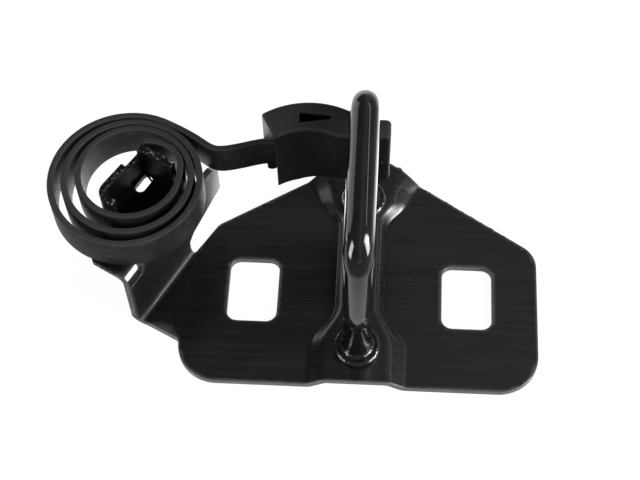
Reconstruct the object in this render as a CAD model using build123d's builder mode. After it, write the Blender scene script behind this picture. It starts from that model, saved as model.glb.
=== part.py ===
"""Boot lid striker.

A pressed sheet plate is bolted to the body. Its raised channel carries a U-shaped bar, which the lid's lock
grips. A wing on the left is folded up and over into a shelf, and a flat spiral spring is hooked on the shelf's
tabs. The spring's arm holds a moulded block inside the bar, against its back leg, and kicks the lid up when the
lock lets go.

Millimetres. X is across the plate, with the bar in the plane X = 0. Y points to the back. Z is up from the
plate's underside, and Y = 0 is the line through the middles of the two fixing holes.
"""

import os
from math import cos, hypot, radians, sin

from build123d import *

# Plate: one sheet, cut, pressed and folded
sheet = 2.0
blank_size = 150.0
front_edge = -29.0
right_edge = 50.5
right_back_corner = 15.2
back_tip = 47.8
left_back_corner = (-42.3, 21.3)
left_front_corner = -50.4
front_corner_radius = 11.5
back_tip_radius = 14.0
side_corner_radius = 8.0
notch_corner_radius = 6.0
web_corner_radius = 1.5

# Fixing holes, either side of the bar
hole_spacing = 61.0
hole_width = 14.2
hole_length = 19.8
hole_corner_radius = 3.0

# Raised channel: a wide pad at each foot of the bar and a narrow rib between them
channel_rise = 3.0
pad_half_width = 13.2
pad_top_half_width = 8.8
rib_half_width = 5.9
rib_top_half_width = 4.8
front_pad_end = -15.5
rib_front_end = -7.0
rib_back_end = 24.0
back_pad_start = 30.5
back_pad_end = 33.5
foot_flare = 0.9
top_flare = 0.35
channel_corner_radius = 6.0
flank_wall = 0.7
soft_bend = 0.6

# Bar, bent to a U, with a collar on each foot and a rivet head under it
bar_diameter = 8.0
front_leg = -18.6
back_leg = 29.4
crossbar_height = 58.2
bar_bend_radius = 7.0
collar_diameter = 13.0
collar_height = 2.4
collar_round = 1.3
collar_neck = 0.8
rivet_diameter = 12.4
rivet_height = 2.2

# Wing: a wall folded up along a slanted line, and a shelf folded over to the left at its top
bend_start = (-49.1, 12.3)
bend_angle = 61.4
bend_radius = 3.0
wall_height = 26.3
wall_front = -27.6
web_front = -26.4
web_front_run = 12.3
web_back = -0.5
notch_width = 1.0
ear_end = 16.2
ear_bottom = 9.4
ear_rise = 5.0
ear_slope = 2.4
ear_chamfer = 2.6
shelf_front_width = 12.7
shelf_step = -15.0
shelf_back = 5.4
shelf_width = 19.0
shelf_back_width = 17.6
shelf_corner_radius = 1.6

# Window cut through the bend between wall and shelf, and the slot in the shelf
window_front = -27.0
window_length = 5.9
window_bottom = 21.2
window_angle = 49.0
slot_centre = (0.4, 14.2)
slot_length = 6.4
slot_width = 3.0

# Tabs turned up from the shelf, on which the spring is wound
tab_height = 10.8
back_tab_start = 5.9
side_tab_start = -2.6
side_tab_radius = 4.0
front_tab_end = 12.4
low_edge_height = 7.9
low_edge_thickness = 1.5

# Spring: a flat strip on edge, wound outwards from the back tab
strip_width = 10.5
strip_thickness = 1.8
strip_lift = 0.5
turns = 2.8
points_per_turn = 10
coil_middle = (-62.98, 16.17)
coil_radius = 12.95
coil_growth = (3.644, -0.191)
coil_drift = ((-0.113, -0.15), (-1.764, 0.256))
hook_middle = (-59.4, 16.8)
hook_radius = 9.75
hook_angles = (100, 80, 60, 40, 20)
arm_points = [
    (-51.8, 31.1),
    (-47.2, 28.5),
    (-44.6, 26.7),
    (-42.2, 25.2),
    (-39.6, 24.7),
    (-35.2, 25.6),
    (-28.7, 27.5),
    (-23.6, 28.1),
    (-16.0, 28.3),
]
stop_place = (-25.9, 27.87)
stop_angle = 6.7
stop_width = 2.2
stop_thickness = 1.4
stop_drop = 2.3

# Block: moulded round the end of the spring's arm
block_bottom = 27.7
block_height = 23.8
block_centre = (-14.3, 8.7)
block_outer_radius = 22.6
block_inner_centre = (-14.3, 5.4)
block_inner_radius = 16.5
block_left_angle = 126.5
overhang_back = 27.4
tongue_bottom = 28.7
block_right = -3.6
tail_right = 7.1
tail_thickness = 6.2
tail_bottom = 31.0
rise_start = -18.0
rise_end = -5.0
leg_clearance = 0.16
leg_groove = 1.0
tail_corner_radius = 1.4
block_edge = 0.6
moulding_gap = 0.02
pocket_outline = [(-17.5, 27.7), (-17.5, 24.4), (-9.0, 25.9), (-9.0, 27.0)]
pocket_depth = 9.0

# Places that follow from the sizes above
pad_top = sheet + channel_rise
channel_front = front_edge - pad_half_width
shelf_top = wall_height
strip_bottom = shelf_top + strip_lift
bar_radius = bar_diameter / 2
block_left = arm_points[-2][0]
block_top = block_bottom + block_height
tail_back = back_leg - bar_radius + leg_groove
tail_front = tail_back - tail_thickness
feet = (front_leg, back_leg)
fold_start = sheet / 2 - bend_radius
upper_bend_centre = (sheet / 2 + bend_radius, wall_height - sheet / 2 - bend_radius)
along = Vector(cos(radians(bend_angle)), sin(radians(bend_angle)), 0)
across = Vector(-along.Y, along.X, 0)
wing = Plane(origin=(*bend_start, 0), x_dir=along, z_dir=(0, 0, 1))
wall_face = Plane(origin=(*bend_start, 0), x_dir=along, z_dir=across * -1)
fold_section = Plane(origin=(*bend_start, 0), x_dir=across, z_dir=along)
stop_along = Vector(cos(radians(stop_angle)), sin(radians(stop_angle)), 0)
stop_face = Plane(origin=(*stop_place, strip_bottom), x_dir=stop_along, z_dir=(stop_along.Y, -stop_along.X, 0))

os.makedirs("parts", exist_ok=True)


def on_wing(lengthwise, crosswise):
    """X and Y of a point given along the wing's bend line and across it, towards the shelf."""
    point = Vector(*bend_start, 0) + along * lengthwise + across * crosswise
    return point.X, point.Y


def left_edge(lengthwise, inset):
    """Crosswise place of a line along the shelf's slanted left edge, that far in from it."""
    slope = (shelf_back_width - shelf_width) / (shelf_back - shelf_step)
    return shelf_width + slope * (lengthwise - shelf_step) - inset * hypot(1, slope)


def channel_section(height, pad_half, rib_half, flare):
    """The channel's outline at one height: wide at the front, narrow in the middle and flared at the back."""
    right = [
        (pad_half, channel_front),
        (pad_half, front_pad_end),
        (rib_half, rib_front_end),
        (rib_half, rib_back_end),
        (pad_half, back_pad_start),
        (pad_half, back_pad_end),
        (pad_half + flare * (back_tip - back_pad_end), back_tip),
    ]
    left = [(-x, y) for x, y in reversed(right)]
    radii = [0, *[channel_corner_radius] * 3, channel_corner_radius / 2, channel_corner_radius / 2, 0]
    with BuildSketch(Plane.XY.offset(height)) as section:
        with BuildLine():
            FilletPolyline(*right, *left, radius=radii + radii[::-1], close=True)
        make_face()
    return section.sketch


def strip_centre_line():
    """Points along the middle of the spring's strip, from its hooked inner end to its end in the block.

    The hook is an arc that goes on from the spiral's start and ends behind the back tab.

    Each turn of the spiral is a circle whose radius grows and whose middle drifts as it winds clockwise, so the
    turns crowd together at the back and stand apart on the left and at the front.
    """
    hook = []
    for hook_angle in hook_angles:
        angle = radians(hook_angle)
        hook.append((hook_middle[0] + hook_radius * cos(angle), hook_middle[1] + hook_radius * sin(angle)))
    spiral = []
    for step in range(round(turns * points_per_turn) + 1):
        turn = step / points_per_turn
        radius = coil_radius + coil_growth[0] * turn + coil_growth[1] * turn**2
        middle_x, middle_y = [
            start + drift[0] * turn + drift[1] * turn**2 for start, drift in zip(coil_middle, coil_drift)
        ]
        angle = radians(-360 * turn)
        spiral.append((middle_x + radius * cos(angle), middle_y + radius * sin(angle)))
    return hook + spiral + arm_points


def strip_face(thickness):
    """The strip seen from above: the centre line moved to each side by half the thickness."""
    middle = strip_centre_line()
    outer, inner = [], []
    for i, (x, y) in enumerate(middle):
        before = middle[max(i - 1, 0)]
        after = middle[min(i + 1, len(middle) - 1)]
        dx, dy = after[0] - before[0], after[1] - before[1]
        side = thickness / 2 / hypot(dx, dy)
        outer.append((x - dy * side, y + dx * side))
        inner.append((x + dy * side, y - dx * side))
    with BuildSketch(Plane.XY.offset(strip_bottom)) as face:
        with BuildLine():
            Spline(*outer)
            Line(outer[-1], inner[-1])
            Spline(*reversed(inner))
            Line(inner[0], outer[0])
        make_face()
    return face.sketch


with BuildPart() as striker_plate:
    # blank, with the channel pressed up from below
    with BuildSketch():
        Rectangle(blank_size, blank_size)
    extrude(amount=sheet)
    loft([
        channel_section(sheet, pad_half_width + soft_bend, rib_half_width + soft_bend, foot_flare),
        channel_section(sheet + soft_bend / 2, pad_half_width, rib_half_width, foot_flare),
        channel_section(pad_top - soft_bend / 2, pad_top_half_width, rib_top_half_width, top_flare),
        channel_section(pad_top, pad_top_half_width - soft_bend, rib_top_half_width - soft_bend, top_flare),
    ], ruled=True)
    loft([
        channel_section(0, pad_half_width - flank_wall, rib_half_width - flank_wall, foot_flare),
        channel_section(channel_rise, pad_top_half_width - flank_wall, rib_top_half_width - flank_wall, top_flare),
    ], ruled=True, mode=Mode.SUBTRACT)

    # cut to its outline, which ends at the left where the sheet starts to fold up
    with BuildSketch():
        with BuildLine():
            FilletPolyline(
                (right_edge, front_edge),
                (right_edge, right_back_corner),
                (0, back_tip),
                left_back_corner,
                on_wing(web_back, -notch_width),
                on_wing(web_back, fold_start),
                on_wing(web_front, fold_start),
                (left_front_corner, on_wing(web_front, -web_front_run)[1]),
                (left_front_corner, front_edge),
                radius=[
                    front_corner_radius,
                    side_corner_radius,
                    back_tip_radius,
                    notch_corner_radius,
                    0,
                    0,
                    0,
                    web_corner_radius,
                    front_corner_radius,
                ],
                close=True,
            )
        make_face()
    extrude(amount=pad_top, mode=Mode.INTERSECT)
    with BuildSketch():
        with GridLocations(hole_spacing, 0, 2, 1):
            RectangleRounded(hole_width, hole_length, hole_corner_radius)
    extrude(amount=sheet, mode=Mode.SUBTRACT)
    with BuildSketch():
        with Locations(*[(0, foot) for foot in feet]):
            Circle(bar_radius)
    extrude(amount=pad_top, mode=Mode.SUBTRACT)

    # wing: wall and shelf, folded up from the sheet
    with BuildSketch(fold_section.offset(wall_front)):
        with BuildLine():
            FilletPolyline(
                (fold_start, sheet / 2),
                (sheet / 2, sheet / 2),
                (sheet / 2, wall_height - sheet / 2),
                (shelf_width, wall_height - sheet / 2),
                radius=bend_radius,
            )
        trace(line_width=sheet)
    extrude(amount=web_back - wall_front)
    with BuildSketch(fold_section.offset(web_back)):
        with BuildLine():
            FilletPolyline(
                (sheet / 2, ear_bottom + ear_rise),
                (sheet / 2, wall_height - sheet / 2),
                (shelf_width, wall_height - sheet / 2),
                radius=bend_radius,
            )
        trace(line_width=sheet)
    extrude(amount=shelf_back - web_back)

    # ear of the wall, reaching out at the back above the notch
    with BuildSketch(wall_face):
        with BuildLine():
            Polyline(
                (web_back, ear_bottom - ear_slope),
                (web_back + ear_slope, ear_bottom),
                (ear_end, ear_bottom + ear_rise),
                (ear_end, wall_height - ear_chamfer),
                (ear_end - ear_chamfer, wall_height),
                (shelf_back, wall_height),
                (shelf_back, upper_bend_centre[1]),
                (web_back, upper_bend_centre[1]),
                close=True,
            )
        make_face()
    extrude(amount=-sheet)

    # front corner of the lower bend cut on the slant
    with BuildSketch(wall_face.offset(-fold_start)):
        with BuildLine():
            Polyline(
                (web_front, 0),
                (wall_front, upper_bend_centre[0]),
                (wall_front, 0),
                close=True,
            )
        make_face()
    extrude(amount=fold_start - sheet, mode=Mode.SUBTRACT)

    # shelf cut to its slanted left edge and narrowed at the front, with rounded corners
    with BuildSketch(wing.offset(shelf_top)):
        with BuildLine():
            Polyline(
                (wall_front, shelf_front_width),
                (shelf_step, shelf_front_width),
                (shelf_step, shelf_width),
                (shelf_back, shelf_back_width),
                (shelf_back, shelf_width + sheet),
                (wall_front, shelf_width + sheet),
                close=True,
            )
        make_face()
    extrude(amount=-sheet, mode=Mode.SUBTRACT)
    upright_edges = striker_plate.edges().filter_by(Axis.Z)
    fillet(upright_edges.sort_by_distance((*on_wing(shelf_step, shelf_width), shelf_top))[0], side_tab_radius)
    fillet(upright_edges.sort_by_distance((*on_wing(wall_front, shelf_front_width), shelf_top))[0], shelf_corner_radius)

    # tabs turned up from the shelf's edges, the left one curved round to the front
    with BuildSketch(wing.offset(shelf_top)) as tabs:
        with BuildLine():
            Polyline(
                (shelf_back, back_tab_start),
                (shelf_back, left_edge(shelf_back, 0)),
                (shelf_back - sheet, left_edge(shelf_back - sheet, 0)),
                (shelf_back - sheet, back_tab_start),
                close=True,
            )
        make_face()
        with BuildLine():
            FilletPolyline(
                (side_tab_start, left_edge(side_tab_start, sheet / 2)),
                (shelf_step + sheet / 2, left_edge(shelf_step + sheet / 2, sheet / 2)),
                (shelf_step + sheet / 2, front_tab_end),
                radius=side_tab_radius - sheet / 2,
            )
        trace(line_width=sheet)
    extrude(amount=tab_height)
    # lower edge turned up between the two tabs
    with BuildSketch(wing.offset(shelf_top)):
        with BuildLine():
            Polyline(
                (side_tab_start - sheet, left_edge(side_tab_start - sheet, 0)),
                (shelf_back - sheet / 2, left_edge(shelf_back - sheet / 2, 0)),
                (shelf_back - sheet / 2, left_edge(shelf_back - sheet / 2, low_edge_thickness)),
                (side_tab_start - sheet, left_edge(side_tab_start - sheet, low_edge_thickness)),
                close=True,
            )
        make_face()
    extrude(amount=low_edge_height)

    # window in the upper bend and slot in the shelf
    with BuildSketch(fold_section.offset(window_front)):
        middle_x, middle_z = upper_bend_centre
        end_z = middle_z + 2 * bend_radius * sin(radians(window_angle))
        with BuildLine():
            Polyline(
                (-sheet, window_bottom),
                (middle_x, window_bottom),
                upper_bend_centre,
                (middle_x - 2 * bend_radius * cos(radians(window_angle)), end_z),
                (-sheet, end_z),
                close=True,
            )
        make_face()
    extrude(amount=window_length, mode=Mode.SUBTRACT)
    with BuildSketch(wing.offset(shelf_top)):
        with Locations(slot_centre):
            SlotOverall(slot_length, slot_width)
    extrude(amount=-sheet, mode=Mode.SUBTRACT)

striker_plate.part.label = "striker_plate"
export_step(striker_plate.part, "parts/striker_plate.step")

with BuildPart() as striker_loop:
    # bar bent to a U, from one rivet head to the other
    with BuildLine(Plane.YZ) as bar_path:
        FilletPolyline(
            (front_leg, channel_rise),
            (front_leg, crossbar_height),
            (back_leg, crossbar_height),
            (back_leg, channel_rise),
            radius=bar_bend_radius,
        )
    with BuildSketch(Plane((0, front_leg, channel_rise))):
        Circle(bar_radius)
    sweep(path=bar_path.line)
    # collar on the pad and rivet head under it, turned about each leg
    for foot in feet:
        with BuildSketch(Plane.XZ.offset(-foot)) as turned:
            with BuildLine():
                Polyline(
                    (0, pad_top),
                    (collar_diameter / 2, pad_top),
                    (collar_diameter / 2, pad_top + collar_height),
                    (bar_radius + collar_neck, pad_top + collar_height),
                    (bar_radius + collar_neck / 2, pad_top + collar_height + collar_neck),
                    (0, pad_top + collar_height + collar_neck),
                    close=True,
                )
            make_face()
            fillet(turned.vertices().group_by(Axis.X)[-1].sort_by(Axis.Z)[-1], collar_round)
            with BuildLine():
                Polyline(
                    (0, channel_rise),
                    (rivet_diameter / 2, channel_rise),
                    (rivet_diameter / 2, channel_rise - rivet_height / 2),
                    (rivet_diameter / 2 - rivet_height / 2, channel_rise - rivet_height),
                    (0, channel_rise - rivet_height),
                    close=True,
                )
            make_face()
        revolve(axis=Axis((0, foot, 0), (0, 0, 1)))

striker_loop.part.label = "striker_loop"
export_step(striker_loop.part, "parts/striker_loop.step")

with BuildPart() as spiral_spring:
    extrude(strip_face(strip_thickness), amount=strip_width)
    # narrower tongue for the block, behind a rounded stop
    with BuildSketch(Plane.XY.offset(strip_bottom)):
        with Locations((block_left, block_centre[1])):
            Rectangle(block_outer_radius, 2 * block_outer_radius, align=(Align.MIN, Align.MIN))
    extrude(amount=tongue_bottom - strip_bottom, mode=Mode.SUBTRACT)
    with BuildSketch(stop_face):
        with Locations((0, stop_width / 2 - stop_drop)):
            Circle(stop_width / 2)
            Rectangle(stop_width, stop_drop - stop_width / 2, align=(Align.CENTER, Align.MIN))
    extrude(amount=stop_thickness / 2, both=True)

spiral_spring.part.label = "spiral_spring"
export_step(spiral_spring.part, "parts/spiral_spring.step")

with BuildPart() as end_block:
    # arched body, with a straight tail that passes in front of the bar's back leg
    def on_arc(centre, radius, angle):
        return (centre[0] + radius * cos(radians(angle)), centre[1] + radius * sin(radians(angle)))

    def on_arc_at(centre, radius, x):
        return (x, centre[1] + (radius**2 - (x - centre[0]) ** 2) ** 0.5)

    inner_rise = tail_front - block_inner_centre[1]
    inner_arc_right = block_inner_centre[0] + (block_inner_radius**2 - inner_rise**2) ** 0.5
    inner_left = on_arc_at(block_inner_centre, block_inner_radius, block_left)
    with BuildSketch(Plane.XY.offset(block_bottom)) as body:
        with BuildLine():
            ThreePointArc(
                on_arc(block_centre, block_outer_radius, block_left_angle),
                on_arc(block_centre, block_outer_radius, 90),
                on_arc_at(block_centre, block_outer_radius, block_right),
            )
            Polyline(
                on_arc_at(block_centre, block_outer_radius, block_right),
                (block_right, tail_back),
                (tail_right, tail_back),
                (tail_right, tail_front),
                (inner_arc_right, tail_front),
            )
            ThreePointArc(
                (inner_arc_right, tail_front),
                on_arc(block_inner_centre, block_inner_radius, 90),
                inner_left,
            )
            Line(inner_left, on_arc(block_centre, block_outer_radius, block_left_angle))
        make_face()
        fillet(body.vertices().group_by(Axis.X)[-1], tail_corner_radius)
    extrude(amount=block_height)
    chamfer(end_block.edges().group_by(Axis.Z)[-1], block_edge)
    # left end cut straight down, so that only its upper back corner reaches over the arm
    with BuildSketch(Plane.YZ.offset(block_left)):
        with BuildLine():
            Polyline(
                (inner_left[1], block_top),
                (overhang_back, strip_bottom + strip_width + moulding_gap),
                (tail_back + block_outer_radius, strip_bottom + strip_width + moulding_gap),
                (tail_back + block_outer_radius, block_bottom),
                (block_centre[1], block_bottom),
                (block_centre[1], block_top),
                close=True,
            )
        make_face()
    extrude(amount=-block_outer_radius, mode=Mode.SUBTRACT)
    # bottom that rises towards the tail, and a shallow round groove for the bar's leg
    with BuildSketch(Plane.XZ):
        with BuildLine():
            Polyline(
                (rise_start, block_bottom),
                (rise_end, tail_bottom),
                (tail_right, tail_bottom),
                (tail_right, block_bottom),
                close=True,
            )
        make_face()
    extrude(amount=-(tail_back + block_outer_radius), mode=Mode.SUBTRACT)
    with BuildSketch(Plane.XY.offset(block_bottom)):
        with Locations((0, back_leg)):
            Circle(bar_radius + leg_clearance)
    extrude(amount=block_height, mode=Mode.SUBTRACT)
    # tapered pocket in the top
    with BuildSketch(Plane.XY.offset(block_top)):
        with BuildLine():
            Polyline(*pocket_outline, close=True)
        make_face()
    extrude(amount=-pocket_depth, mode=Mode.SUBTRACT)
    # seat of the strip's tongue, which the block is moulded round
    seat_bottom = tongue_bottom - moulding_gap
    seat = strip_face(strip_thickness + 2 * moulding_gap).moved(Location((0, 0, seat_bottom - strip_bottom)))
    extrude(seat, amount=strip_bottom + strip_width + moulding_gap - seat_bottom, mode=Mode.SUBTRACT)

end_block.part.label = "end_block"
export_step(end_block.part, "parts/end_block.step")
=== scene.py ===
"""Boot lid striker, dressed for its picture.

The sheet is folded from its flat blank, the bar and the spring strip are profiles carried along their centre
lines, and every surface has its own worked material.
"""

import bmesh
import bpy
import numpy as np
from mathutils import Matrix, Vector
from mathutils.geometry import delaunay_2d_cdt


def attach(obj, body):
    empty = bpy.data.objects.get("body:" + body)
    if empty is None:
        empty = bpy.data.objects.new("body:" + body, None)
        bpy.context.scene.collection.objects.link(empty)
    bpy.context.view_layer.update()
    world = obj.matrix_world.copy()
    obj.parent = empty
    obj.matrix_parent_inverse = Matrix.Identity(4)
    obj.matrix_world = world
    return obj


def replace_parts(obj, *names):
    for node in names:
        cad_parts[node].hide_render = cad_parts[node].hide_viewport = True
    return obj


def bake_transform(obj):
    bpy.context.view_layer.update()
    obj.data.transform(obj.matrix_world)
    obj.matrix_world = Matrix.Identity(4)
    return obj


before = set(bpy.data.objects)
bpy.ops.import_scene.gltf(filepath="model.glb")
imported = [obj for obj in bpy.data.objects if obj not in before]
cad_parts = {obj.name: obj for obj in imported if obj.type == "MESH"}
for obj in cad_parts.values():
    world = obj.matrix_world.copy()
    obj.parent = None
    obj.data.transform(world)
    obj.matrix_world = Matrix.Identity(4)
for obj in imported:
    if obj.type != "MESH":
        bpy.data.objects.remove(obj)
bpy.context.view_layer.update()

# Sizes, in millimetres, as in the part
SHEET = 2.0
BEND = 3.0
RISE = 3.0
BEND_START = np.array([-49.1, 12.3])
BEND_ANGLE = np.radians(61.4)
ALONG = np.array([np.cos(BEND_ANGLE), np.sin(BEND_ANGLE)])
ACROSS = np.array([-ALONG[1], ALONG[0]])
WALL_HEIGHT = 26.3
FOLD_START = SHEET / 2 - BEND
QUARTER = BEND * np.pi / 2
UPPER_START = FOLD_START + QUARTER + WALL_HEIGHT - SHEET - 2 * BEND
SHELF_START = UPPER_START + QUARTER
SHELF_OFFSET = SHELF_START - SHEET / 2 - BEND
WALL_OFFSET = FOLD_START + QUARTER - SHEET / 2 - BEND
SHELF_STEP = -15.0
SHELF_BACK = 5.4
SHELF_WIDTH = 19.0
SHELF_BACK_WIDTH = 17.6
EDGE_SLOPE = (SHELF_BACK_WIDTH - SHELF_WIDTH) / (SHELF_BACK - SHELF_STEP)
LOW_EDGE_TOP = 34.2
LOW_EDGE = 1.5
SIDE_TAB_START = -2.6
TAB_BEND = 1.3
TAB_FOLD = SHELF_BACK - SHEET / 2 - TAB_BEND
TAB_START = 5.9
TAB_TOP = 37.1
HOLE_PLACE = 30.5
HOLE_HALF_WIDTH, HOLE_HALF_LENGTH = 7.1, 9.9
HOLE_CORNER = 3
BAR = 4.0
FRONT_LEG, BACK_LEG = -18.6, 29.4
CROSSBAR = 58.2
BAR_BEND = 7.0
STRIP_BOTTOM = 26.8
STRIP_WIDTH = 10.5
STRIP_THICKNESS = 1.8
STRIP_ROUND = 0.42
STOP_PLACE = (-25.9, 27.87)
STOP_TURN = np.radians(6.7)
STOP_RADIUS = 1.1
# Heights in metres at which the block's painted light on its top starts and is full
BLOCK_PAINTED_LIGHT_STARTS, BLOCK_PAINTED_LIGHT_FULL = 0.0506, 0.0514


# Meshes from arrays

def quads(rows, columns, closed_rows=False, closed_columns=False):
    """Four-cornered faces of a grid of points numbered row by row."""
    i = np.arange(rows if closed_rows else rows - 1)[:, None]
    j = np.arange(columns if closed_columns else columns - 1)[None, :]
    i2, j2 = (i + 1) % rows, (j + 1) % columns
    corner = [i * columns + j, i2 * columns + j, i2 * columns + j2, i * columns + j2]
    return np.stack(np.broadcast_arrays(*corner), axis=-1).reshape(-1, 4)


def piece(name, points, faces, body, slot, *materials):
    """A mesh object of points in millimetres, riding on a body of the frame."""
    mesh = bpy.data.meshes.new(name)
    mesh.from_pydata((np.asarray(points) * 0.001).tolist(), [], faces)
    mesh.shade_smooth()
    for material in materials:
        mesh.materials.append(material)
    thing = bpy.data.objects.new(name, mesh)
    bpy.context.scene.collection.objects.link(thing)
    if body:
        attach(thing, body)
    return thing


def note(thing, name, values):
    """A number kept at every point of the mesh, for its material to read."""
    kept = thing.data.attributes.new(name, "FLOAT", "POINT")
    kept.data.foreach_set("value", np.asarray(values, dtype=np.float32))


def round_edges(thing, width, segments=2, angle=40):
    bevel = thing.modifiers.new("edges", "BEVEL")
    bevel.width = width * 0.001
    bevel.segments = segments
    bevel.limit_method = "ANGLE"
    bevel.angle_limit = np.radians(angle)
    bevel.use_clamp_overlap = False
    bevel.harden_normals = True


def carried(path, side, up, profile):
    """A closed profile carried along a path, with both ends closed with one face each.

    Point (i, j) is path[i] + side[i] * profile[j, 0] + up[i] * profile[j, 1].
    """
    rows, columns = len(path), len(profile)
    points = path[:, None] + side[:, None] * profile[None, :, :1] + up[:, None] * profile[None, :, 1:]
    faces = quads(rows, columns, closed_columns=True).tolist()
    faces.append(list(range(columns)))
    faces.append(list(range(rows * columns - 1, (rows - 1) * columns - 1, -1)))
    return points.reshape(-1, 3), faces


def turned(profile, centre, around=72):
    """A profile of radius and height turned about an upright line: (x + r cos a, y + r sin a, z)."""
    angle = np.linspace(0, 2 * np.pi, around, endpoint=False)[:, None]
    r, z = profile[:, 0][None], profile[:, 1][None]
    points = np.stack([centre[0] + r * np.cos(angle), centre[1] + r * np.sin(angle), z + 0 * angle], axis=-1)
    return points.reshape(-1, 3), quads(around, len(profile), closed_rows=True).tolist()


def smooth_line(points, steps):
    """A curve through all the points: cubics with half the step between the neighbours as slope."""
    p = np.asarray(points, dtype=float)
    ends = np.vstack([2 * p[:1] - p[1:2], p, 2 * p[-1:] - p[-2:-1]])
    slope = (ends[2:] - ends[:-2]) / 2
    t = np.linspace(0, 1, steps, endpoint=False)[None, :, None]
    a, b, u, v = p[:-1, None], p[1:, None], slope[:-1, None], slope[1:, None]
    curve = (2 * t**3 - 3 * t**2 + 1) * a + (t**3 - 2 * t**2 + t) * u
    curve = curve + (3 * t**2 - 2 * t**3) * b + (t**3 - t**2) * v
    return np.vstack([curve.reshape(-1, p.shape[1]), p[-1:]])


def rounded(corners, radii, step=0.8):
    """A closed outline with each corner rounded to its radius, with points at most a step apart."""
    p = np.asarray(corners, dtype=float)
    outline = []
    for before, here, after, radius in zip(np.roll(p, 1, 0), p, np.roll(p, -1, 0), radii):
        to_before = (before - here) / np.hypot(*(before - here))
        to_after = (after - here) / np.hypot(*(after - here))
        half = np.arccos(np.clip(to_before @ to_after, -1, 1)) / 2
        if radius == 0:
            outline.append(here[None])
            continue
        middle = here + (to_before + to_after) / np.hypot(*(to_before + to_after)) * radius / np.sin(half)
        start = here + to_before * radius / np.tan(half) - middle
        end = here + to_after * radius / np.tan(half) - middle
        count = max(3, int(radius * (np.pi - 2 * half) / step) + 2)
        t = np.linspace(0, 1, count)[:, None]
        swing = np.pi - 2 * half
        outline.append(middle + (np.sin((1 - t) * swing) * start + np.sin(t * swing) * end) / np.sin(swing))
    ring = np.vstack(outline)
    closed = np.vstack([ring, ring[:1]])
    run = np.r_[0, np.cumsum(np.hypot(*np.diff(closed, axis=0).T))]
    extra = np.arange(0, run[-1], step)
    extra = extra[np.abs(extra[:, None] - run[None]).min(axis=1) > 0.45 * step]
    run_all = np.sort(np.r_[run[:-1], extra])
    return np.c_[np.interp(run_all, run, closed[:, 0]), np.interp(run_all, run, closed[:, 1])]


def inside(points, ring):
    """Whether each point lies in a closed outline, by counting the outline's crossings to its right."""
    a, b = ring, np.roll(ring, -1, 0)
    x, y = points[:, :1], points[:, 1:]
    spans = (a[None, :, 1] > y) != (b[None, :, 1] > y)
    rise = np.where(b[:, 1] == a[:, 1], 1, b[:, 1] - a[:, 1])
    crossing = a[None, :, 0] + (y - a[None, :, 1]) * ((b[:, 0] - a[:, 0]) / rise)[None]
    return (spans & (x < crossing)).sum(axis=1) % 2 == 1


def nearest(points, ring):
    """Distance from each point to the nearest point of an outline."""
    return np.sqrt(((points[:, None] - ring[None]) ** 2).sum(axis=-1).min(axis=1))


# The sheet: a flat blank, pressed and then folded

def on_wing(s, d):
    """Blank position of a point at s along the bend line and d across it."""
    return BEND_START + np.asarray(s)[..., None] * ALONG + np.asarray(d)[..., None] * ACROSS


def on_wall(s, z):
    return on_wing(s, z + WALL_OFFSET)


def on_shelf(s, d):
    return on_wing(s, d + SHELF_OFFSET)


def left_edge(s, inset=0.0):
    """Crosswise place of a line that far in from the shelf's slanted left edge."""
    return SHELF_WIDTH + EDGE_SLOPE * (np.asarray(s) - SHELF_STEP) - inset * np.hypot(1, EDGE_SLOPE)


def channel_height(x, y):
    """Height of the pressed channel: a straight flank between a foot line and a top line, with soft bends.

    Both lines are widths that change along Y, averaged over 5 mm so that their corners are round. The bends
    come from averaging the flank over the width of each bend.
    """
    reach = np.linspace(-2.6, 2.6, 13)[:, None]
    stations = [-60, -15.5, -7, 24.0, 30.5, 33.5, 47.8]
    foot = np.interp(y[None] + reach, stations, [13.2, 13.2, 5.9, 5.9, 13.2, 13.2, 26.1]).mean(axis=0)
    top = np.interp(y[None] + reach, stations, [8.8, 8.8, 4.8, 4.8, 8.8, 8.8, 13.8]).mean(axis=0)
    across = (foot - np.abs(x)) / (foot - top)
    soft = np.linspace(-1, 1, 15)[:, None] * (0.9 / (foot - top))[None]
    return RISE * np.clip(across[None] + soft, 0, 1).mean(axis=0)


def fold(blank):
    """Blank points to the sheet's middle surface.

    Along the wing the distance past each bend line turns through a quarter circle: first up into the wall,
    then over into the shelf, and the back tab turns up from the shelf.
    """
    offset = blank - BEND_START
    s, d = offset @ ALONG, offset @ ACROSS
    z = SHEET / 2 + channel_height(blank[:, 0], blank[:, 1])
    d3, z3, s3 = d.copy(), z.copy(), s.copy()
    lower = d > FOLD_START
    turn = np.clip((d - FOLD_START) / BEND, 0, np.pi / 2)
    climb = np.clip(d - FOLD_START - QUARTER, 0, None)
    d3[lower] = (FOLD_START + BEND * np.sin(turn))[lower]
    z3[lower] = (SHEET / 2 + BEND * (1 - np.cos(turn)) + climb)[lower]
    upper = (d > UPPER_START) & (s < SHELF_BACK + 0.2)
    upper |= d > SHELF_START + 1
    turn = np.clip((d - UPPER_START) / BEND, 0, np.pi / 2)
    over = np.clip(d - SHELF_START, 0, None)
    d3[upper] = (SHEET / 2 + BEND * (1 - np.cos(turn)) + over)[upper]
    z3[upper] = (WALL_HEIGHT - SHEET / 2 - BEND + BEND * np.sin(turn))[upper]
    tab = (s > TAB_FOLD) & (d > TAB_START + SHELF_OFFSET - 0.3)
    turn = np.clip((s - TAB_FOLD) / TAB_BEND, 0, np.pi / 2)
    climb = np.clip(s - TAB_FOLD - TAB_BEND * np.pi / 2, 0, None)
    s3[tab] = (TAB_FOLD + TAB_BEND * np.sin(turn))[tab]
    z3[tab] += (TAB_BEND * (1 - np.cos(turn)) + climb)[tab]
    place = on_wing(s3, d3)
    return np.c_[place, z3]


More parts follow.
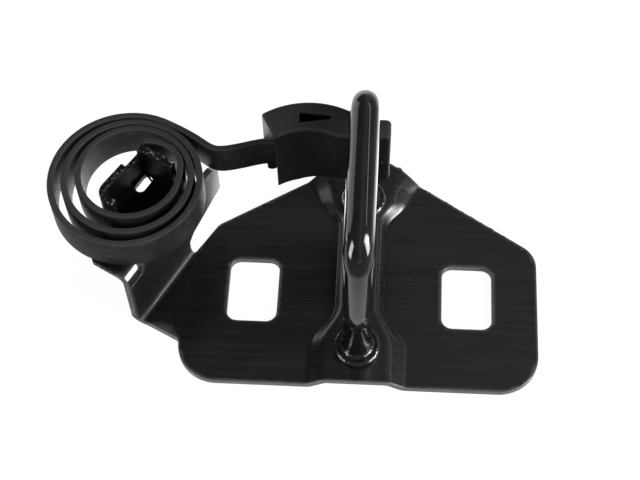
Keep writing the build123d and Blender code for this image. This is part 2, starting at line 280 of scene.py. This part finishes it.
def blank_outline():
    """Outline of the flat blank: the plate, then the wing's wall, ear, shelf and back tab before folding."""
    tab_end = TAB_FOLD + TAB_BEND * np.pi / 2 + TAB_TOP - WALL_HEIGHT + SHEET / 2 - TAB_BEND
    corners = [
        ((50.5, -29.0), 11.5),
        ((50.5, 15.2), 8.0),
        ((0.0, 47.8), 14.0),
        ((-42.3, 21.3), 6.0),
        (on_wing(-0.5, -1.0), 0.9),
        (on_wall(-0.5, 7.0), 0.8),
        (on_wall(1.9, 9.4), 1.2),
        (on_wall(16.2, 14.4), 1.2),
        (on_wall(16.2, 23.7), 1.0),
        (on_wall(13.6, 26.3), 1.0),
        (on_wall(SHELF_BACK + 0.7, 26.3), 0.3),
        (on_wall(SHELF_BACK + 0.7, 21.6), 0),
        (on_wing(SHELF_BACK, 21.6 + WALL_OFFSET), 0),
        (on_shelf(SHELF_BACK, TAB_START - 0.8), 0.3),
        (on_shelf(TAB_FOLD - 0.2, TAB_START - 0.8), 0),
        (on_shelf(TAB_FOLD - 0.2, TAB_START), 0),
        (on_shelf(tab_end, TAB_START), 0.8),
        (on_shelf(tab_end, SHELF_BACK_WIDTH), 0.8),
        (on_shelf(TAB_FOLD, left_edge(TAB_FOLD)), 0),
        (on_shelf(SIDE_TAB_START, left_edge(SIDE_TAB_START)), 0.5),
        (on_shelf(SIDE_TAB_START, left_edge(SIDE_TAB_START, 3)), 0),
        (on_shelf(SHELF_STEP + 3, left_edge(SHELF_STEP + 3, 3)), 1.0),
        (on_shelf(SHELF_STEP + 3, 12.8), 0),
        (on_shelf(SHELF_STEP, 12.7), 0),
        (on_shelf(-27.6, 12.7), 1.6),
        (on_wing(-27.6, FOLD_START + QUARTER), 1.0),
        (on_wing(-26.4, FOLD_START), 1.0),
        ((-50.4, on_wing(-26.4, -12.3)[1]), 1.5),
        ((-50.4, -29.0), 11.5),
    ]
    return rounded([c for c, r in corners], [r for c, r in corners])


def plate_sheet(*materials):
    """The whole sheet as one surface: the blank filled with triangles, finer in the bends."""
    rings = [blank_outline()]
    for side in (-1, 1):
        low = np.array([side * HOLE_PLACE - HOLE_HALF_WIDTH, -HOLE_HALF_LENGTH])
        high = np.array([side * HOLE_PLACE + HOLE_HALF_WIDTH, HOLE_HALF_LENGTH])
        rings.append(rounded([low, (high[0], low[1]), high, (low[0], high[1])], [HOLE_CORNER] * 4))
    for foot in (FRONT_LEG, BACK_LEG):
        angle = np.linspace(0, 2 * np.pi, 28, endpoint=False)
        rings.append(np.c_[BAR * np.cos(angle), foot + BAR * np.sin(angle)])
    window = [(-27.0, 19.91), (-21.1, 19.91), (-21.1, 23.58), (-27.0, 23.58)]
    rings.append(rounded([on_wing(s, d) for s, d in window], [0.3] * 4))
    slot = [on_shelf(s, d) for s, d in ((-2.8, 12.7), (3.6, 12.7), (3.6, 15.7), (-2.8, 15.7))]
    rings.append(rounded(slot, [1.45] * 4))

    def mesh_points(first, second):
        return np.stack(np.meshgrid(first, second), axis=-1).reshape(-1, 2)

    fine = np.arange(-19, 19.1, 0.34)
    coarse = np.arange(19.5, 51, 2.0)
    rows = np.r_[np.arange(-28.2, -18, 1.2), np.arange(-18, -4, 0.5), np.arange(-4, 20, 1.0)]
    rows = np.r_[rows, np.arange(20, 48, 0.4)]
    either_side = mesh_points(np.r_[-coarse[::-1], coarse], np.arange(-29, 48, 1.4))
    flat = np.vstack([mesh_points(fine, rows), either_side])
    past = (flat - BEND_START) @ ACROSS
    flat = flat[past < FOLD_START - 0.9]
    bends = [np.arange(FOLD_START - 0.5, FOLD_START + QUARTER + 0.6, 0.5), np.arange(5.2, 19.6, 1.8),
             np.arange(UPPER_START - 0.6, SHELF_START + 0.6, 0.5), np.arange(SHELF_START + 2, 42, 1.8)]
    lengthwise = np.r_[np.arange(-27, 1.8, 1.6), np.arange(TAB_FOLD, SHELF_BACK + 0.3, 0.4)]
    lengthwise = np.r_[lengthwise, np.arange(6.2, 16, 1.6)]
    wing = mesh_points(lengthwise, np.concatenate(bends))
    grid = np.vstack([flat, on_wing(wing[:, 0], wing[:, 1])])
    edge = np.vstack(rings)
    keep = inside(grid, rings[0]) & (nearest(grid, edge) > 0.7)
    for ring in rings[1:]:
        keep &= ~inside(grid, ring)
    grid = grid[keep]
    starts = np.cumsum([0] + [len(ring) for ring in rings])
    borders = []
    for a, b in zip(starts[:-1], starts[1:]):
        borders += [(int(a + i), int(a + (i + 1) % (b - a))) for i in range(b - a)]
    loose = [Vector(p) for p in np.vstack([edge, grid])]
    points, _, faces, *_ = delaunay_2d_cdt(loose, borders, [], 0, 1e-6)
    points = np.array([tuple(p) for p in points])
    faces = np.array(faces)
    middles = points[faces].mean(axis=1)
    keep = inside(middles, rings[0])
    for ring in rings[1:]:
        keep &= ~inside(middles, ring)
    faces = faces[keep]
    used, faces = np.unique(faces, return_inverse=True)
    points = points[used]
    faces = faces.reshape(-1, 3).tolist()
    sheet = piece("plate_sheet", fold(points), faces, "base", "coated_plate", *materials)
    note(sheet, "rim", np.exp(-nearest(points, edge) / 0.8))
    s, d = (points - BEND_START) @ ALONG, (points - BEND_START) @ ACROSS
    note(sheet, "dull", np.where(d > SHELF_START, 1, 0.6 * np.clip((9 - s) / 4, 0, 1) * (d > FOLD_START - 1)))
    walls = sheet.modifiers.new("thickness", "SOLIDIFY")
    walls.thickness = SHEET * 0.001
    walls.offset = 0
    walls.material_offset_rim = 1
    round_edges(sheet, 0.22)
    return sheet


def upturned(name, run, reach, in_by, height, thickness, *materials):
    """A wall turned up from the shelf: the section (in_by, height) carried along the line (run, reach)."""
    step_s, step_d = np.gradient(run), np.gradient(reach)
    inward = np.c_[-step_d, step_s] / np.hypot(step_s, step_d)[:, None]
    sd = np.c_[run, reach][:, None] + inward[:, None] * in_by[None, :, None]
    place = on_wing(sd[..., 0], sd[..., 1])
    heights = np.broadcast_to(height, place.shape[:2])[..., None]
    points = np.concatenate([place, heights], axis=-1).reshape(-1, 3)
    tab = piece(name, points, quads(len(run), len(in_by)).tolist(), "base", "coated_plate", *materials)
    note(tab, "rim", np.exp(-(height[-1] - points[:, 2]) / 0.8))
    note(tab, "dull", np.ones(len(points)))
    walls = tab.modifiers.new("thickness", "SOLIDIFY")
    walls.thickness = thickness * 0.001
    walls.offset = 0
    walls.material_offset_rim = 1
    round_edges(tab, 0.25)
    return tab


def side_tab(*materials):
    """The left tab, flanged up round the shelf's corner: a quarter bend and an upright, carried round a J."""
    middle_s = SHELF_STEP + 4
    middle_d = left_edge(middle_s, 4)
    corner = np.linspace(np.pi / 2 + np.arctan(EDGE_SLOPE), np.pi, 13)
    straight = np.linspace(SIDE_TAB_START - 0.1, middle_s + 3 * np.cos(corner[0]), 12)[:-1]
    run = np.r_[straight, middle_s + 3 * np.cos(corner), np.full(4, SHELF_STEP + 1)]
    reach = np.r_[left_edge(straight, 1), middle_d + 3 * np.sin(corner), np.linspace(middle_d - 0.6, 12.5, 4)]
    turn = np.linspace(0, np.pi / 2, 9)
    in_by = np.r_[2 * (1 - np.sin(turn)), np.zeros(8)]
    height = np.r_[2 * (1 - np.cos(turn)), np.linspace(3, 11.8, 8)] + WALL_HEIGHT - SHEET / 2
    return upturned("side_tab", run, reach, in_by, height, SHEET, *materials)


def low_edge(*materials):
    """The lower edge turned up between the two tabs: an upright wall along the shelf's slanted left edge."""
    run = np.linspace(SHELF_BACK - 1.2, SIDE_TAB_START - 0.8, 8)
    height = np.linspace(WALL_HEIGHT - 1.4, LOW_EDGE_TOP, 8)
    return upturned("low_edge", run, left_edge(run, LOW_EDGE / 2), np.zeros(8), height, LOW_EDGE, *materials)


# The bar with its collars and rivet heads

def lock_bar(material):
    """A round section carried along the U: up the front leg, a quarter circle, along Y, and down again."""
    bend = np.linspace(0, np.pi / 2, 25)
    front_y = FRONT_LEG + BAR_BEND * (1 - np.cos(bend))
    back_y = BACK_LEG - BAR_BEND + BAR_BEND * np.sin(bend)
    up_z = CROSSBAR - BAR_BEND + BAR_BEND * np.sin(bend)
    down_z = CROSSBAR - BAR_BEND + BAR_BEND * np.cos(bend)
    y = np.r_[FRONT_LEG, FRONT_LEG, front_y, back_y, BACK_LEG, BACK_LEG]
    z = np.r_[RISE, 30, up_z, down_z, 30, RISE]
    path = np.c_[0 * y, y, z]
    way = np.gradient(path, axis=0)
    way /= np.linalg.norm(way, axis=1)[:, None]
    side = np.tile([1.0, 0, 0], (len(path), 1))
    up = np.cross(side, way)
    angle = np.linspace(0, 2 * np.pi, 56, endpoint=False)
    points, faces = carried(path, side, up, BAR * np.c_[np.cos(angle), np.sin(angle)])
    return piece("lock_bar", points, faces, "base", "polished_bar", material)


def foot_collar(name, foot, material):
    """The swaged collar on the pad: a neck that runs out into a rounded rim, turned about the leg."""
    neck = np.linspace(0, np.pi / 2, 7)
    rim = np.linspace(np.pi / 2, 0, 9)
    r = np.r_[BAR - 0.3, BAR + 0.02, 5.0 - np.cos(neck), 5.25, 5.35 + 1.15 * np.cos(rim)]
    r = np.r_[r, 6.5, 6.35, BAR - 0.3]
    z = np.r_[8.4, 8.4, 8.25 - 0.95 * np.sin(neck), 7.28, 6.4 + 1.0 * np.sin(rim), 5.15, 5.0, 5.0]
    points, faces = turned(np.c_[r, z][::-1], (0, foot))
    return piece(name, points, faces, "base", "polished_bar", material)


def rivet_head(name, foot, material):
    """The riveted end under the channel: a flat disc with a slanted rim."""
    r = np.array([0.01, 4.9, 5.3, 6.0, 6.2, 6.2, 0.01])
    z = np.array([0.8, 0.8, 0.95, 1.65, 1.95, 3.0, 3.0])
    points, faces = turned(np.c_[r, z], (0, foot))
    return piece(name, points, faces, "base", "polished_bar", material)


# The spring

def strip_line():
    """Middle of the strip: hooked end, spiral and arm.

    On the spiral the radius grows and the middle drifts with w, the number of turns, as it winds clockwise.
    """
    w = np.linspace(0, 2.8, 71)
    radius = 12.95 + 3.644 * w - 0.191 * w**2
    angle = -2 * np.pi * w
    spiral = np.c_[-62.98 - 0.113 * w - 0.15 * w**2 + radius * np.cos(angle),
                   16.17 - 1.764 * w + 0.256 * w**2 + radius * np.sin(angle)]
    bend = np.radians([100, 80, 60, 40, 20])
    hook = np.c_[-59.4 + 9.75 * np.cos(bend), 16.8 + 9.75 * np.sin(bend)]
    arm = [(-51.8, 31.1), (-47.2, 28.5), (-44.6, 26.7), (-42.2, 25.2), (-39.6, 24.7), (-35.2, 25.6)]
    arm += [(-28.7, 27.5), (-23.6, 28.1), (-18.0, 28.27)]
    return smooth_line(np.vstack([hook, spiral, arm]), 4)


def spring_strip(material):
    """A flat strip with rounded rims, on edge, carried along its middle line."""
    line = strip_line()
    way = np.gradient(line, axis=0)
    way /= np.linalg.norm(way, axis=1)[:, None]
    path = np.c_[line, np.full(len(line), STRIP_BOTTOM + STRIP_WIDTH / 2)]
    side = np.c_[-way[:, 1], way[:, 0], 0 * way[:, 0]]
    up = np.tile([0, 0, 1.0], (len(line), 1))
    half_t, half_w, r = STRIP_THICKNESS / 2, STRIP_WIDTH / 2, STRIP_ROUND
    turn = np.linspace(0, np.pi / 2, 5)
    corner = np.c_[half_t - r + r * np.cos(turn), half_w - r + r * np.sin(turn)]
    upper = np.vstack([corner, (corner * [-1, 1])[::-1]])
    profile = np.vstack([upper, -upper])
    points, faces = carried(path, side, up, profile)
    strip = piece("spring_strip", points, faces, None, "spring_strip", material)
    from_middle = np.abs(points[:, 2] - STRIP_BOTTOM - half_w)
    note(strip, "rim", np.clip((from_middle - half_w + 0.9) / 0.9, 0, 1))
    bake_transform(strip)
    return strip


def arm_stop(material):
    """The rounded lug under the arm: a half-round outline given the strip's thickness."""
    angle = np.linspace(np.pi, 2 * np.pi, 15)
    round_end = np.c_[STOP_RADIUS * np.cos(angle), -1.2 + STOP_RADIUS * np.sin(angle)]
    outline = np.r_[[[STOP_RADIUS, 1.0], [-STOP_RADIUS, 1.0]], round_end]
    way = np.array([np.cos(STOP_TURN), np.sin(STOP_TURN), 0])
    out = np.array([way[1], -way[0], 0])
    middle = np.array([*STOP_PLACE, STRIP_BOTTOM])
    depth = np.array([-0.88, 0.88])
    flat = outline[None, :, :1] * way + outline[None, :, 1:] * np.array([0, 0, 1.0])
    points = middle + flat + depth[:, None, None] * out
    count = len(outline)
    faces = quads(2, count, closed_columns=True).tolist()
    faces += [list(range(count))[::-1], list(range(count, 2 * count))]
    lug = piece("arm_stop", points.reshape(-1, 3), faces, "arm", "spring_strip", material)
    note(lug, "rim", np.zeros(2 * count))
    round_edges(lug, 0.3, 3)
    return lug


# The moulded block

def softened_block(material):
    """A merged copy of the block's solid with every edge rounded, as a mould leaves it."""
    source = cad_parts["end_block"].data
    mesh = bmesh.new()
    mesh.from_mesh(source)
    bmesh.ops.remove_doubles(mesh, verts=mesh.verts, dist=1e-6)
    bmesh.ops.dissolve_limit(mesh, angle_limit=np.radians(0.5), verts=mesh.verts, edges=mesh.edges)
    data = bpy.data.meshes.new("moulded_block")
    mesh.to_mesh(data)
    mesh.free()
    data.materials.clear()
    data.materials.append(material)
    data.shade_smooth()
    block = bpy.data.objects.new("moulded_block", data)
    bpy.context.scene.collection.objects.link(block)
    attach(block, "arm")
    round_edges(block, 0.35, 3, 25)
    return block


# Materials

def group(name, inputs, outputs):
    """An empty node group with numbers as inputs and masks, colours or heights as outputs."""
    tree = bpy.data.node_groups.new(name, "ShaderNodeTree")
    for label, value in inputs.items():
        socket = tree.interface.new_socket(label, in_out="INPUT", socket_type="NodeSocketFloat")
        socket.default_value = value
    for label in outputs:
        tree.interface.new_socket(label, in_out="OUTPUT", socket_type="NodeSocketFloat")
    return tree, tree.nodes.new("NodeGroupInput"), tree.nodes.new("NodeGroupOutput")


class Bench:
    """Short ways to add and join nodes in one tree."""

    def __init__(self, tree):
        self.tree = tree

    def node(self, kind, inputs=None, **settings):
        made = self.tree.nodes.new(kind)
        for key, value in settings.items():
            setattr(made, key, value)
        for key, value in (inputs or {}).items():
            self.feed(made.inputs[key], value)
        return made

    def feed(self, socket, value):
        if isinstance(value, bpy.types.NodeSocket):
            self.tree.links.new(value, socket)
        else:
            socket.default_value = value

    def maths(self, operation, *values, clamp=False):
        made = self.node("ShaderNodeMath", dict(enumerate(values)), operation=operation, use_clamp=clamp)
        return made.outputs[0]

    def spread(self, value, low, high, to_low=0.0, to_high=1.0):
        made = self.node("ShaderNodeMapRange", {"Value": value, "From Min": low, "From Max": high,
                                                "To Min": to_low, "To Max": to_high})
        return made.outputs[0]

    def blend(self, mask, first, second):
        made = self.node("ShaderNodeMix", data_type="RGBA")
        for key, value in ((0, mask), (6, first), (7, second)):
            self.feed(made.inputs[key], value)
        return made.outputs[2]

    def noise(self, vector, scale, detail=2.0, roughness=0.5):
        made = self.node("ShaderNodeTexNoise", {"Vector": vector, "Scale": scale,
                                                "Detail": detail, "Roughness": roughness})
        return made.outputs[0]

    def place(self, *stretch):
        where = self.node("ShaderNodeTexCoord").outputs["Object"]
        return self.node("ShaderNodeMapping", {"Vector": where, "Scale": stretch or (1, 1, 1)}).outputs[0]


def mottle_group():
    """Soft patches and fine grain: two noises of object coordinates, one wide and one fine."""
    tree, take, give = group("coat_mottle", {"Patch": 60.0, "Grain": 1500.0}, ["Patches", "Grains"])
    on = Bench(tree)
    where = on.place()
    on.feed(give.inputs["Patches"], on.spread(on.noise(where, take.outputs["Patch"], 3.0), 0.3, 0.7))
    on.feed(give.inputs["Grains"], on.noise(where, take.outputs["Grain"], 2.0))
    return tree


def streak_group():
    """Brushing along X: noise stretched forty times in that direction, in a fine and a wide pass."""
    tree, take, give = group("brushing", {"Fineness": 900.0, "Width": 160.0}, ["Fine", "Wide"])
    on = Bench(tree)
    where = on.place(0.025, 1.0, 1.0)
    on.feed(give.inputs["Fine"], on.noise(where, take.outputs["Fineness"], 3.0, 0.6))
    on.feed(give.inputs["Wide"], on.noise(where, take.outputs["Width"], 2.0))
    return tree


def speck_group():
    """Dust and nicks: small round cells of a jittered grid, of which only a few are kept."""
    tree, take, give = group("specks", {"Spacing": 450.0, "Kept": 0.06}, ["Specks"])
    on = Bench(tree)
    cells = on.node("ShaderNodeTexVoronoi", {"Vector": on.place(), "Scale": take.outputs["Spacing"]})
    near = on.spread(cells.outputs["Distance"], 0.22, 0.1)
    lucky = on.node("ShaderNodeSeparateColor", {"Color": cells.outputs["Color"]})
    few = on.maths("LESS_THAN", lucky.outputs[0], take.outputs["Kept"])
    on.feed(give.inputs["Specks"], on.maths("MULTIPLY", near, few))
    return tree


def rub_group():
    """Wear where something rubs: the amount given, broken up by noise so that it comes and goes."""
    tree, take, give = group("rubbed", {"Amount": 0.0, "Breakup": 700.0, "Bite": 0.5}, ["Worn"])
    on = Bench(tree)
    ragged = on.noise(on.place(), take.outputs["Breakup"], 4.0, 0.65)
    shifted = on.maths("ADD", take.outputs["Amount"], on.maths("SUBTRACT", ragged, take.outputs["Bite"]))
    on.feed(give.inputs["Worn"], on.spread(on.maths("MULTIPLY", shifted, take.outputs["Amount"]), 0.15, 0.7))
    return tree


GROUPS = {
    "mottle": mottle_group(),
    "brushing": streak_group(),
    "specks": speck_group(),
    "rubbed": rub_group(),
}


class Finish(Bench):
    """A material with its Principled shader, and the shared groups placed with this finish's own values."""

    def __init__(self, name, **sockets):
        self.material = bpy.data.materials.new(name)
        self.material.use_nodes = True
        super().__init__(self.material.node_tree)
        self.shader = self.tree.nodes["Principled BSDF"]
        for label, value in sockets.items():
            self.shader.inputs[label.replace("_", " ")].default_value = value

    def use(self, name, **inputs):
        placed = self.tree.nodes.new("ShaderNodeGroup")
        placed.node_tree = GROUPS[name]
        for label, value in inputs.items():
            self.feed(placed.inputs[label], value)
        return placed.outputs

    def kept(self, name):
        return self.node("ShaderNodeAttribute", attribute_name=name).outputs["Fac"]

    def surface(self, colour, roughness, height, strength, distance):
        bump = self.node("ShaderNodeBump", {"Height": height, "Strength": strength, "Distance": distance})
        self.feed(self.shader.inputs["Base Color"], colour)
        self.feed(self.shader.inputs["Roughness"], roughness)
        self.feed(self.shader.inputs["Normal"], bump.outputs[0])
        return self.material


def coated_sheet():
    """Warm black coating over brushed sheet, with dust and rubbed rims, duller on shelf and tabs."""
    on = Finish("coated_sheet", Coat_Roughness=0.12)
    mottle = on.use("mottle", Patch=45.0, Grain=1600.0)
    brushing = on.use("brushing", Fineness=900.0, Width=150.0)
    specks = on.use("specks", Spacing=1000.0, Kept=0.02)
    worn = on.use("rubbed", Amount=on.kept("rim"), Breakup=900.0, Bite=0.55)["Worn"]
    colour = on.blend(mottle["Patches"], (0.0024, 0.0020, 0.0016, 1), (0.0052, 0.0044, 0.0036, 1))
    colour = on.blend(on.spread(brushing["Fine"], 0.35, 0.75, 0.0, 0.25), colour, (0.022, 0.020, 0.017, 1))
    colour = on.blend(specks["Specks"], colour, (0.07, 0.07, 0.065, 1))
    colour = on.blend(on.maths("MULTIPLY", worn, 0.6), colour, (0.09, 0.09, 0.088, 1))
    brushed = on.spread(brushing["Fine"], 0.3, 0.7, 0.24, 0.34)
    roughness = on.maths("ADD", brushed, on.spread(mottle["Patches"], 0, 1, -0.03, 0.04))
    streaks = on.maths("MULTIPLY", brushing["Fine"], 0.7)
    height = on.maths("ADD", streaks, on.maths("MULTIPLY", mottle["Grains"], 0.4))
    dull = on.kept("dull")
    colour = on.blend(on.maths("MULTIPLY", dull, 0.8), colour, (0.0030, 0.0029, 0.0026, 1))
    on.feed(on.shader.inputs["Coat Weight"], on.spread(dull, 0, 1, 0.25, 0.0))
    on.feed(on.shader.inputs["Specular IOR Level"], on.spread(dull, 0, 1, 0.5, 0.07))
    roughness = on.maths("ADD", roughness, on.maths("MULTIPLY", dull, 0.25))
    return on.surface(colour, roughness, height, 0.2, 0.00006)


def sheared_edge():
    """Cut edge of the sheet: lighter, with upright drag marks, and on the dull tabs a torn surface whose pale
    specks are painted glints.
    """
    on = Finish("sheared_edge", Metallic=0.15)
    drag = on.noise(on.place(1.0, 1.0, 0.12), 1400.0, 3.0, 0.6)
    worn = on.use("rubbed", Amount=0.8, Breakup=500.0, Bite=0.45)["Worn"]
    colour = on.blend(drag, (0.016, 0.016, 0.015, 1), (0.065, 0.065, 0.063, 1))
    colour = on.blend(on.maths("MULTIPLY", worn, 0.5), colour, (0.12, 0.12, 0.117, 1))
    torn_grain_and_glints = on.noise(on.place(), 1100.0, 3.0, 0.7)
    # Painted highlight: pale specks on the dull tabs' torn tops stand in for glints on the rough fracture;
    # the same noise also bumps the torn surface.
    painted_tab_glints = on.blend(on.spread(torn_grain_and_glints, 0.56, 0.66), (0.004, 0.004, 0.0036, 1), (0.22, 0.22, 0.21, 1))
    dull = on.kept("dull")
    colour = on.blend(dull, colour, painted_tab_glints)
    on.feed(on.shader.inputs["Specular IOR Level"], on.spread(dull, 0, 1, 0.5, 0.15))
    height = on.maths("ADD", drag, on.maths("MULTIPLY", torn_grain_and_glints, dull))
    return on.surface(colour, on.spread(drag, 0.2, 0.8, 0.34, 0.55), height, 0.5, 0.00015)


def gloss_bar():
    """Smooth black bar: nearly even gloss, with faint patches and the odd nick."""
    on = Finish("gloss_bar", Coat_Weight=0.1, Coat_Roughness=0.05, Specular_IOR_Level=0.62)
    mottle = on.use("mottle", Patch=110.0, Grain=2200.0)
    specks = on.use("specks", Spacing=500.0, Kept=0.02)
    colour = on.blend(mottle["Patches"], (0.0032, 0.0032, 0.0030, 1), (0.0062, 0.0062, 0.0058, 1))
    colour = on.blend(specks["Specks"], colour, (0.10, 0.10, 0.10, 1))
    roughness = on.spread(mottle["Patches"], 0, 1, 0.08, 0.13)
    return on.surface(colour, roughness, on.maths("ADD", mottle["Grains"], mottle["Patches"]), 0.12, 0.00006)


def swaged_collar():
    """Black metal upset by a tool: lumps and dents that break its highlights."""
    on = Finish("swaged_collar", Coat_Weight=0.3, Coat_Roughness=0.05)
    mottle = on.use("mottle", Patch=300.0, Grain=700.0)
    specks = on.use("specks", Spacing=700.0, Kept=0.04)
    colour = on.blend(mottle["Patches"], (0.0032, 0.0032, 0.0030, 1), (0.0062, 0.0062, 0.0058, 1))
    colour = on.blend(specks["Specks"], colour, (0.12, 0.12, 0.12, 1))
    roughness = on.spread(mottle["Grains"], 0.3, 0.7, 0.1, 0.2)
    return on.surface(colour, roughness, on.maths("ADD", mottle["Patches"], mottle["Grains"]), 0.6, 0.0005)


def dull_strip():
    """Dull dark spring strip: scuffed in patches along its faces and rubbed paler on its rims."""
    on = Finish("dull_strip", Specular_IOR_Level=0.09)
    mottle = on.use("mottle", Patch=150.0, Grain=1300.0)
    scuffs = on.spread(on.noise(on.place(0.35, 0.35, 1.0), 420.0, 4.0, 0.7), 0.56, 0.72)
    worn = on.use("rubbed", Amount=on.kept("rim"), Breakup=450.0, Bite=0.38)["Worn"]
    colour = on.blend(mottle["Patches"], (0.0013, 0.0013, 0.0012, 1), (0.0030, 0.0030, 0.0028, 1))
    colour = on.blend(on.maths("MULTIPLY", scuffs, 0.3), colour, (0.085, 0.085, 0.083, 1))
    colour = on.blend(on.maths("MULTIPLY", worn, 0.6), colour, (0.054, 0.054, 0.052, 1))
    roughness = on.spread(mottle["Grains"], 0.3, 0.7, 0.42, 0.6)
    return on.surface(colour, roughness, on.maths("ADD", mottle["Grains"], scuffs), 0.3, 0.0001)


def moulded_plastic():
    """Matt green-black plastic with the fine grain of its mould, and its top painted paler as painted light
    from above.
    """
    on = Finish("moulded_plastic", Specular_IOR_Level=0.12)
    mottle = on.use("mottle", Patch=90.0, Grain=2600.0)
    specks = on.use("specks", Spacing=600.0, Kept=0.03)
    colour = on.blend(mottle["Patches"], (0.0014, 0.0020, 0.0014, 1), (0.0030, 0.0042, 0.0030, 1))
    height = on.node("ShaderNodeSeparateXYZ", {0: on.place()}).outputs["Z"]
    # Painted light: the block's top is painted paler, as if lit from above, chosen by its height in object
    # coordinates.
    colour = on.blend(on.spread(height, BLOCK_PAINTED_LIGHT_STARTS, BLOCK_PAINTED_LIGHT_FULL), colour, (0.024, 0.028, 0.024, 1))
    colour = on.blend(specks["Specks"], colour, (0.05, 0.055, 0.05, 1))
    roughness = on.spread(mottle["Grains"], 0.3, 0.7, 0.46, 0.62)
    return on.surface(colour, roughness, mottle["Grains"], 0.35, 0.0001)


# The set: floor, sky, lamps and camera

def pale_floor():
    """Plain pale floor that lights as white and keeps the part's faint shadow.

    Gloss sees paper that ends in front of the part and is brighter behind it and to its right.
    """
    across = 3000.0
    corners = np.array([(-1, -1, 0), (1, -1, 0), (1, 1, 0), (-1, 1, 0)]) * across + (0, 0, -0.1)
    on = Finish("pale_floor", Roughness=0.9, Specular_IOR_Level=0.1)
    on.shader.inputs["Base Color"].default_value = (0.85, 0.85, 0.85, 1)
    path = on.node("ShaderNodeLightPath").outputs
    seen = on.maths("MAXIMUM", path["Is Camera Ray"], path["Is Glossy Ray"])
    where = on.node("ShaderNodeSeparateXYZ", {0: on.place()}).outputs
    far_right = on.spread(where["X"], 0.12, 0.2, 1.0, 0.2)
    right = on.maths("MULTIPLY", on.spread(where["X"], -0.03, 0.08, 2.4, 1.9), far_right)
    behind = on.spread(where["Y"], 0.01, 0.04, 0.0, 1.5)
    depth = on.maths("ADD", on.spread(where["Y"], -0.075, -0.036, 0.02, 0.36), behind)
    depth = on.maths("MULTIPLY", depth, on.spread(where["Y"], 0.06, 0.12, 1.0, 0.35))
    gleam = on.maths("MULTIPLY", right, depth)
    shine = on.node("ShaderNodeMix", {0: path["Is Glossy Ray"], 2: 1.1, 3: gleam}).outputs[0]
    glow = on.node("ShaderNodeEmission", {"Color": (1, 1, 1, 1), "Strength": shine})
    share = on.maths("MULTIPLY", seen, 0.85)
    mixed = on.node("ShaderNodeMixShader", {0: share, 1: on.shader.outputs[0], 2: glow.outputs[0]})
    on.feed(on.tree.nodes["Material Output"].inputs["Surface"], mixed.outputs[0])
    floor = piece("pale_floor", corners, [[0, 1, 2, 3]], None, None, on.material)


def sky(low, high):
    """White to the camera; to the part bright near the horizon and dim from ten degrees up.

    More of its light comes from the right, and less again from far to the right.
    """
    world = bpy.data.worlds.new("studio")
    world.use_nodes = True
    bpy.context.scene.world = world
    on = Bench(world.node_tree)
    towards = on.node("ShaderNodeSeparateXYZ", {0: on.node("ShaderNodeTexCoord").outputs["Generated"]})
    path = on.node("ShaderNodeLightPath").outputs
    slope = on.maths("MULTIPLY", on.spread(towards.outputs["X"], -0.15, 0.15, 0.55, 1.35),
                     on.spread(towards.outputs["X"], 0.25, 0.5, 1.0, 0.5))
    level = on.maths("MULTIPLY", on.spread(towards.outputs["Z"], 0.04, 0.16, low, high), slope)
    background = world.node_tree.nodes["Background"]
    background.inputs["Color"].default_value = (1, 1, 1, 1)
    on.feed(background.inputs["Strength"], on.maths("MAXIMUM", level, path["Is Camera Ray"]))


def soft_lamp(name, place, aim, size, power):
    lamp = bpy.data.lights.new(name, "AREA")
    lamp.shape = "RECTANGLE"
    lamp.size, lamp.size_y = size
    lamp.energy = power
    thing = bpy.data.objects.new(name, lamp)
    thing.location = place
    thing.rotation_euler = (Vector(aim) - Vector(place)).to_track_quat("-Z", "Y").to_euler()
    bpy.context.scene.collection.objects.link(thing)


def camera():
    """The camera that took the photograph, fitted to the part's own edges."""
    right = Vector((0.998457, 0.053216, -0.015835))
    up = Vector((-0.037841, 0.860943, 0.507291))
    back = Vector((0.040629, -0.505910, 0.861629))
    lens = bpy.data.cameras.new("camera")
    lens.lens = 82.07
    lens.sensor_width = 36.0
    lens.clip_start = 0.01
    thing = bpy.data.objects.new("camera", lens)
    turn = Matrix((right, up, back)).transposed().to_4x4()
    thing.matrix_world = Matrix.Translation((0.005027, -0.198400, 0.369390)) @ turn
    bpy.context.scene.collection.objects.link(thing)
    bpy.context.scene.camera = thing


# The part, dressed

sheet_finish, edge_finish = coated_sheet(), sheared_edge()
bar_finish, collar_finish = gloss_bar(), swaged_collar()
strip_finish, block_finish = dull_strip(), moulded_plastic()

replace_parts(plate_sheet(sheet_finish, edge_finish), "striker_plate")
side_tab(sheet_finish, edge_finish)
low_edge(sheet_finish, edge_finish)
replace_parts(lock_bar(bar_finish), "striker_loop")
foot_collar("front_collar", FRONT_LEG, collar_finish)
foot_collar("back_collar", BACK_LEG, collar_finish)
rivet_head("front_rivet", FRONT_LEG, collar_finish)
rivet_head("back_rivet", BACK_LEG, collar_finish)
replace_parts(spring_strip(strip_finish), "spiral_spring")
arm_stop(strip_finish)
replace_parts(softened_block(block_finish), "end_block")

pale_floor()
sky(0.5, 0.24)
soft_lamp("left_front_box", (-0.55, -0.37, 0.24), (0, 0, 0.06), (0.24, 0.5), 3.6)
soft_lamp("right_front_box", (0.66, -0.24, 0.32), (0, 0, 0.06), (0.3, 0.7), 8.5)
soft_lamp("right_spot", (0.66, -0.13, 0.36), (0, 0, 0.02), (0.2, 0.25), 4.0)
soft_lamp("right_tube", (0.42, 0.42, 0.50), (0, 0, 0.05), (0.5, 0.04), 0.2)
soft_lamp("left_panel", (-0.9, 0.55, 0.30), (0, 0, 0.05), (0.9, 0.65), 2.1)
camera()
bpy.context.scene.view_settings.view_transform = "Standard"
